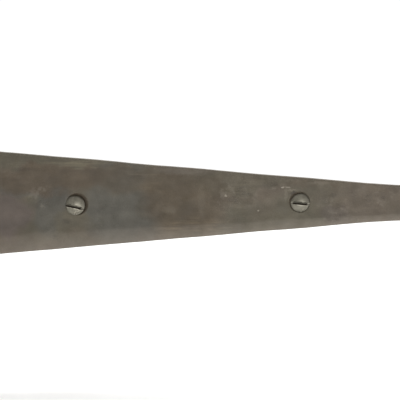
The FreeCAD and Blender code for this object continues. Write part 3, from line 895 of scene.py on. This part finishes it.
class Recipe(Nodes):
    """A material's nodes, with a short call for each kind."""

    def __init__(self, name, metallic):
        self.material = bpy.data.materials.new(name)
        super().__init__(self.material)
        self.shader = self.add("BsdfPrincipled", {"Metallic": metallic})
        self.add("OutputMaterial", {"Surface": self.shader.outputs["BSDF"]})
        self.place = self.add("TexCoord", {}).outputs["Object"]

    def mapped(self, place, scale, shift):
        return self.add("Mapping", {"Location": shift, "Scale": scale, "Vector": place}).outputs["Vector"]

    def noise(self, size, detail=4, rough=0.5, stretch=(1, 1, 1), shift=(0, 0, 0)):
        """Noise from 0 to 1 whose features are about size metres across."""
        values = {"Scale": 1 / size, "Detail": detail, "Roughness": rough}
        values["Vector"] = self.mapped(self.place, stretch, shift)
        return self.add("TexNoise", values).outputs["Fac"]

    def ragged(self, size, amount):
        """Object coordinates pushed about, so that what is drawn with them has uneven edges."""
        stir = self.add("TexNoise", {"Scale": 1 / size, "Detail": 4, "Vector": self.place})
        middle = self.add("VectorMath", {0: self.place, 1: [amount / 2] * 3}, operation="SUBTRACT")
        values = {0: stir.outputs["Color"], 1: [amount] * 3, 2: middle.outputs[0]}
        return self.add("VectorMath", values, operation="MULTIPLY_ADD").outputs[0]

    def spot(self, place, centre, reach, soft=(0.0, 0.55)):
        """1 in the middle of an ellipse on the face, and 0 outside it. Sizes in mm along X and Z."""
        scale = (1 / (reach[0] * MM), 0, 1 / (reach[1] * MM))
        place = self.mapped(place, scale, (-centre[0] / reach[0], 0, -centre[1] / reach[1]))
        gradient = self.add("TexGradient", {"Vector": place}, gradient_type="SPHERICAL")
        return self.step(gradient.outputs["Fac"], *soft)

    def attribute(self, name):
        return self.add("Attribute", {}, attribute_name=name).outputs["Fac"]

    def step(self, value, low, high, out_low=0.0, out_high=1.0):
        """Carry a value from one range to another, held at both ends."""
        ranges = {"From Min": low, "From Max": high, "To Min": out_low, "To Max": out_high}
        return self.add("MapRange", {"Value": value, **ranges}).outputs["Result"]

    def maths(self, operation, first, second):
        return self.add("Math", {0: first, 1: second}, operation=operation).outputs[0]

    def mix(self, factor, first, second, blend="MIX"):
        node = self.add("Mix", {}, data_type="RGBA", blend_type=blend)
        self.feed(node.inputs["Factor"], factor)
        for name, value in (("A", first), ("B", second)):
            socket = next(s for s in node.inputs if s.name == name and s.type == "RGBA")
            self.feed(socket, value if isinstance(value, bpy.types.NodeSocket) else (*value, 1))
        return next(s for s in node.outputs if s.type == "RGBA")

    def tint(self, colour, mask, strength, other):
        """A colour with another laid over it: as far as the mask says, times the strength."""
        return self.mix(self.maths("MULTIPLY", mask, strength), colour, other)

    def shaded(self, colour, amount):
        """A colour made darker or lighter, by an amount that lies round 1."""
        grey = self.add("CombineColor", {"Red": amount, "Green": amount, "Blue": amount})
        return self.mix(1.0, colour, grey.outputs["Color"], "MULTIPLY")

    def mottled(self, size, first, second, detail=5):
        """Two colours in soft patches of the given size."""
        return self.mix(self.step(self.noise(size, detail, 0.6), 0.35, 0.65), first, second)

    def polish(self, size, smoothest, dullest):
        """A roughness that varies in patches of the given size."""
        return self.step(self.noise(size, 4, 0.6), 0.3, 0.7, smoothest, dullest)

    def bump(self, height, distance, strength, normal=None):
        node = self.add("Bump", {"Distance": distance, "Strength": strength, "Height": height})
        if normal:
            self.feed(node.inputs["Normal"], normal)
        return node.outputs["Normal"]

    def set(self, name, value):
        self.feed(self.shader.inputs[name], value)


BROWN = (0.077, 0.061, 0.043)
OLIVE = (0.065, 0.056, 0.037)
RUST = (0.066, 0.047, 0.032)
SLATE = (0.058, 0.054, 0.043)
PLUM = (0.072, 0.057, 0.047)
UMBER = (0.056, 0.042, 0.025)
WORN = (0.098, 0.084, 0.067)
# A pale colour for worn edges, and for the painted light along the strap's lower edge.
RUBBED_AND_LIT = (0.213, 0.186, 0.154)
PIT = (0.045, 0.036, 0.027)
CREST = (0.19, 0.165, 0.135)
# A dark brown for the painted shade in the countersinks.
PAINTED_SHADE = (0.056, 0.042, 0.027)
# Near black for the painted shade and dirt on the screws, and for dark smudges on the strap.
DARK_DIRT_AND_SHADE = (0.016, 0.012, 0.008)
BARE = (0.30, 0.27, 0.22)
# Stains on the strap's face: colour, middle and reach in mm along X and Z, strength.
STAINS = (
    (SLATE, (174, 0), (24, 32), 0.9), (SLATE, (139, -3), (13, 17), 0.9), (SLATE, (124, 8), (15, 5), 0.7),
    (PLUM, (119, -6), (14, 17), 0.95), (RUST, (142, 12), (40, 9), 0.7), (OLIVE, (138, 22), (50, 6), 0.9),
    (OLIVE, (152, -9), (12, 7), 0.7), (UMBER, (204, 1), (27, 26), 0.95), (UMBER, (160, 12), (76, 9), 0.6),
    (UMBER, (206, 9), (26, 9), 0.8), (UMBER, (264, 9.3), (18, 3.5), 0.5),
    (OLIVE, (230, 10), (34, 7), 0.7), (OLIVE, (264, -5), (14, 8), 0.5), (PLUM, (276, -5), (12, 7), 0.5),
    (UMBER, (212, 7.5), (15, 6), 0.6),
)
# Where a stain starts and where it is full, as shares of the way in from its edge.
CRISP = (0.13, 0.42)
# Where the face is pitted, and where a file has left long marks: middle and reach in mm.
PITTED = (
    ((227, 4), (11, 9)), ((249, 7), (10, 4)), ((277, -3), (15, 9)), ((298, 3), (20, 5)),
    ((134, 4), (9, 9)),
)
FILED = (((194, 16.5), (30, 5)), ((213, -12.5), (34, 5)), ((150, 20), (22, 4)))
# Small knocks and smudges: colour, middle and reach in mm, strength.
MARKS = (
    (BARE, (223.7, 3.4), (0.7, 0.55), 0.45), (BARE, (239.1, -3.9), (0.75, 0.5), 0.45),
    (BARE, (251.2, 7.5), (1.0, 0.6), 0.6), (BARE, (253.6, 7.4), (1.6, 0.5), 0.35),
    (BARE, (255.6, 6.2), (3.0, 0.6), 0.16), (BARE, (252.6, 4.0), (1.0, 4.5), 0.10),
    (BARE, (196.5, -3.5), (4.2, 2.4), 0.07), (BARE, (212.0, 1.3), (2.4, 8.0), 0.06),
    (BARE, (269.0, 9.6), (7.0, 1.0), 0.08), (WORN, (204.0, 15.8), (18.0, 3.0), 0.60),
    (DARK_DIRT_AND_SHADE, (256.3, 4.5), (2.4, 1.2), 0.75), (DARK_DIRT_AND_SHADE, (275.5, 3.6), (2.0, 1.4), 0.30),
    (DARK_DIRT_AND_SHADE, (146.8, -9.0), (2.6, 1.8), 0.35),
)


def forged_iron():
    """Old dark iron: brown, slate and rusty patches, file marks, pits, edges worn lighter, painted light
    from below along the strap's lower edge, and painted shade in the countersinks.
    """
    iron = Recipe("forged_iron", metallic=0.3)
    patches = iron.step(iron.noise(46 * MM, 3, 0.55), 0.42, 0.58)
    colour = iron.mix(patches, BROWN, OLIVE)
    reddish = iron.step(iron.noise(30 * MM, 5, 0.6, shift=(3, 1, 2)), 0.52, 0.68, 0.0, 0.5)
    colour = iron.mix(reddish, colour, RUST)
    ragged = iron.ragged(14 * MM, 16 * MM)
    for stain, middle, reach, strength in STAINS:
        colour = iron.tint(colour, iron.spot(ragged, middle, reach, CRISP), strength, stain)

    mottle = iron.noise(9 * MM, 5, 0.55, stretch=(0.6, 1, 1), shift=(1, 5, 0))
    streaks = iron.noise(1.8 * MM, 3, 0.6, stretch=(0.1, 1, 1), shift=(0, 2, 7))
    filed = iron.step(iron.noise(20 * MM, 3, 0.5, shift=(8, 0, 1)), 0.54, 0.70, 0.0, 0.5)
    for middle, reach in FILED:
        filed = iron.maths("MAXIMUM", filed, iron.spot(ragged, middle, reach))
    drawn = iron.maths("MULTIPLY", iron.step(streaks, 0.42, 0.68, -0.10, 0.60), filed)
    colour = iron.shaded(colour, iron.maths("ADD", iron.step(mottle, 0.25, 0.75, 0.76, 1.24), drawn))
    grain = iron.noise(0.35 * MM, 4, 0.7, shift=(6, 3, 2))
    colour = iron.shaded(colour, iron.step(grain, 0.3, 0.7, 0.80, 1.20))

    # Edges worn lighter; along the strap's lower edge the lighter band is also painted light from below.
    wear_and_light_share = iron.step(iron.noise(6 * MM, 4, 0.6, shift=(2, 2, 9)), 0.3, 0.7, 0.7, 1.0)
    wear_and_painted_light = iron.maths("MULTIPLY", iron.attribute("wear_and_painted_light"), wear_and_light_share)
    colour = iron.tint(colour, wear_and_painted_light, 0.57, RUBBED_AND_LIT)

    patchy = iron.noise(19 * MM, 3, 0.5, shift=(4, 4, 4))
    polished = iron.spot(iron.place, (205, 0), (165, 70))
    everywhere = iron.maths("SUBTRACT", iron.step(patchy, 0.42, 0.62, 0.0, 0.9), polished)
    pitted = iron.maths("MAXIMUM", everywhere, iron.step(patchy, 0.58, 0.72, 0.0, 0.8))
    for middle, reach in PITTED:
        pitted = iron.maths("MAXIMUM", pitted, iron.spot(ragged, middle, reach))
    scale = iron.noise(3.3 * MM, 3, 0.6, stretch=(0.8, 1, 1), shift=(5, 0, 5))
    pits = iron.maths("MULTIPLY", iron.step(scale, 0.53, 0.66), pitted)
    crests = iron.maths("MULTIPLY", iron.step(scale, 0.45, 0.33), pitted)
    colour = iron.tint(colour, pits, 0.36, PIT)
    colour = iron.tint(colour, crests, 0.24, CREST)

    chipped = iron.ragged(1.5 * MM, 2.2 * MM)
    for mark, middle, reach, strength in MARKS:
        colour = iron.tint(colour, iron.spot(chipped, middle, reach), strength, mark)
    # Painted shade down the countersinks and bores, heaviest where the gap round a head is widest.
    colour = iron.tint(colour, iron.attribute("painted_shade_and_dirt"), 0.85, PAINTED_SHADE)
    iron.set("Base Color", colour)
    iron.set("Roughness", iron.step(iron.noise(4 * MM, 5, 0.6, shift=(9, 1, 3)), 0.2, 0.8, 0.50, 0.72))
    normal = iron.bump(grain, 0.03 * MM, 0.6)
    normal = iron.bump(iron.noise(0.9 * MM, 5, 0.65, shift=(1, 1, 1)), 0.04 * MM, 0.5, normal)
    normal = iron.bump(iron.maths("MULTIPLY", pits, -1.0), 0.14 * MM, 0.7, normal)
    normal = iron.bump(iron.maths("MULTIPLY", streaks, filed), 0.06 * MM, 0.6, normal)
    iron.set("Normal", normal)
    return iron.material


def pin_iron():
    """The same old iron, with brighter patches."""
    iron = Recipe("pin_iron", metallic=0.5)
    colour = iron.mottled(9 * MM, (0.074, 0.062, 0.050), (0.105, 0.090, 0.072))
    bright = iron.step(iron.noise(2.4 * MM, 4, 0.6, shift=(3, 3, 0)), 0.55, 0.75, 0.0, 0.6)
    colour = iron.mix(bright, colour, (0.17, 0.155, 0.13))
    iron.set("Base Color", colour)
    iron.set("Roughness", iron.polish(3 * MM, 0.42, 0.62))
    iron.set("Normal", iron.bump(iron.noise(0.8 * MM, 5, 0.65), 0.05 * MM, 0.6))
    return iron.material


def washer_iron():
    """Dull iron, a little lighter than the leaves."""
    iron = Recipe("washer_iron", metallic=0.5)
    iron.set("Base Color", iron.mottled(6 * MM, (0.085, 0.070, 0.055), (0.135, 0.118, 0.095)))
    iron.set("Roughness", iron.polish(2 * MM, 0.40, 0.60))
    iron.set("Normal", iron.bump(iron.noise(0.7 * MM, 4, 0.6), 0.04 * MM, 0.6))
    return iron.material


def screw_steel():
    """Greenish grey old steel, scratched across by drivers, with painted shade and dirt in the slot,
    painted shade under the head and round its rim, and newly bared metal with painted glints where
    drivers tore it.
    """
    steel = Recipe("screw_steel", metallic=0.6)
    painted_shade_and_dirt = steel.attribute("painted_shade_and_dirt")
    colour = steel.mottled(3.5 * MM, (0.118, 0.111, 0.086), (0.175, 0.164, 0.131), detail=4)
    stain = steel.step(steel.noise(1.6 * MM, 5, 0.65, shift=(2, 0, 2)), 0.55, 0.75, 0.0, 0.5)
    colour = steel.mix(stain, colour, (0.085, 0.071, 0.053))
    # Newly bared metal where drivers tore the head, with painted glints on its crests, and a painted
    # highlight along the slot's lower lip.
    colour = steel.mix(steel.attribute("fresh_metal_and_glint"), colour, (0.45, 0.41, 0.34))
    # Painted shade and dirt in the slot, round the rim and under the head.
    colour = steel.mix(painted_shade_and_dirt, colour, DARK_DIRT_AND_SHADE)
    steel.set("Base Color", colour)
    steel.set("Metallic", steel.step(painted_shade_and_dirt, 0.0, 1.0, 0.6, 0.0))
    steel.set("Specular IOR Level", steel.step(painted_shade_and_dirt, 0.0, 1.0, 0.5, 0.05))
    dull = steel.step(painted_shade_and_dirt, 0.0, 0.6, 0.34, 0.95)
    steel.set("Roughness", steel.maths("MAXIMUM", steel.polish(1.5 * MM, 0.34, 0.52), dull))
    scratches = steel.noise(0.35 * MM, 3, 0.6, stretch=(0.25, 1, 1), shift=(0, 4, 1))
    steel.set("Normal", steel.bump(scratches, 0.03 * MM, 0.5))
    return steel.material


def pale_floor():
    paint = Recipe("pale_floor", metallic=0.0)
    paint.set("Base Color", paint.mix(paint.noise(0.4, 2, 0.5), (0.88, 0.88, 0.875), (0.90, 0.90, 0.895)))
    paint.set("Roughness", 0.9)
    return paint.material


# -------- studio

VIEW_CENTRE = Vector((211.2 * MM, -LEAF_THICKNESS, 1.3 * MM))
VIEW_WIDTH = 192.9 * MM
LENS = 100.0
SENSOR = 36.0
FLOOR_HALF = 6.0
FLOOR_GAP = 1 * MM


def add_camera():
    """Square on to the strap's face, seeing the stretch between its root and its neck."""
    data = bpy.data.cameras.new("camera")
    data.lens = LENS
    data.sensor_width = SENSOR
    camera = add_object("camera", data)
    camera.location = VIEW_CENTRE - Vector((0, LENS / SENSOR * VIEW_WIDTH, 0))
    camera.rotation_euler = (math.radians(90), 0, 0)
    bpy.context.scene.camera = camera


def add_floor():
    """A pale floor just under the jamb leaf."""
    mesh = bmesh.new()
    level = jamb_low.z - FLOOR_GAP
    corners = ((-1, -1), (1, -1), (1, 1), (-1, 1))
    mesh.faces.new([mesh.verts.new((x * FLOOR_HALF, y * FLOOR_HALF, level)) for x, y in corners])
    floor = finish_mesh("floor", mesh, pale_floor())


def add_light(name, kind, power, place, target, **settings):
    data = bpy.data.lights.new(name, kind)
    data.energy = power
    for setting, value in settings.items():
        setattr(data, setting, value)
    light = add_object(name, data)
    light.location = place
    light.rotation_euler = (Vector(target) - Vector(place)).to_track_quat("-Z", "Y").to_euler()


def add_lights():
    """One from the front, and a soft sun that fills the floor, which lights the face from below."""
    add_light("overhead", "SUN", 3.6, (0, 0, 0), (0, -0.3, -1), angle=math.radians(25))
    add_light("low_front", "AREA", 4, (0.36, -0.9, -0.02), (0.22, 0, 0), shape="SQUARE", size=0.3)


def add_world():
    """White behind everything, and a softer, even light from the same surroundings."""
    world = bpy.data.worlds.new("studio")
    bpy.context.scene.world = world
    nodes = Nodes(world)
    lit = nodes.add("Background", {"Color": (1, 0.99, 0.97, 1), "Strength": 0.55})
    seen = nodes.add("Background", {"Color": (1, 1, 1, 1), "Strength": 1.05})
    ray = nodes.add("LightPath", {}).outputs["Is Camera Ray"]
    choose = nodes.add("MixShader", {"Fac": ray, 1: lit.outputs[0], 2: seen.outputs[0]})
    nodes.add("OutputWorld", {"Surface": choose.outputs[0]})


def add_studio():
    bpy.context.scene.view_settings.view_transform = "Standard"
    add_camera()
    add_floor()
    add_world()
    add_lights()


# -------- the hinge

def put(piece, body, slot, *nodes):
    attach(piece, body)
    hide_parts(*nodes)


def add_hinge():
    iron, steel = forged_iron(), screw_steel()
    put(make_strap(iron), "strap", "forged_iron", "strap_leaf")
    put(make_jamb(iron), "jamb", "forged_iron", "jamb_leaf")
    put(make_pin(pin_iron()), "jamb", "pin_iron", "hinge_pin")
    washer = washer_iron()
    for node in NODES:
        if "washer" in node:
            put(make_washer(node, washer), "jamb", "washer_iron", node)
    for body, nodes in (("strap", STRAP_SCREWS), ("jamb", JAMB_SCREWS)):
        for node in nodes:
            put(make_screw(node, steel), body, "screw_iron", node)


add_studio()
add_hinge()
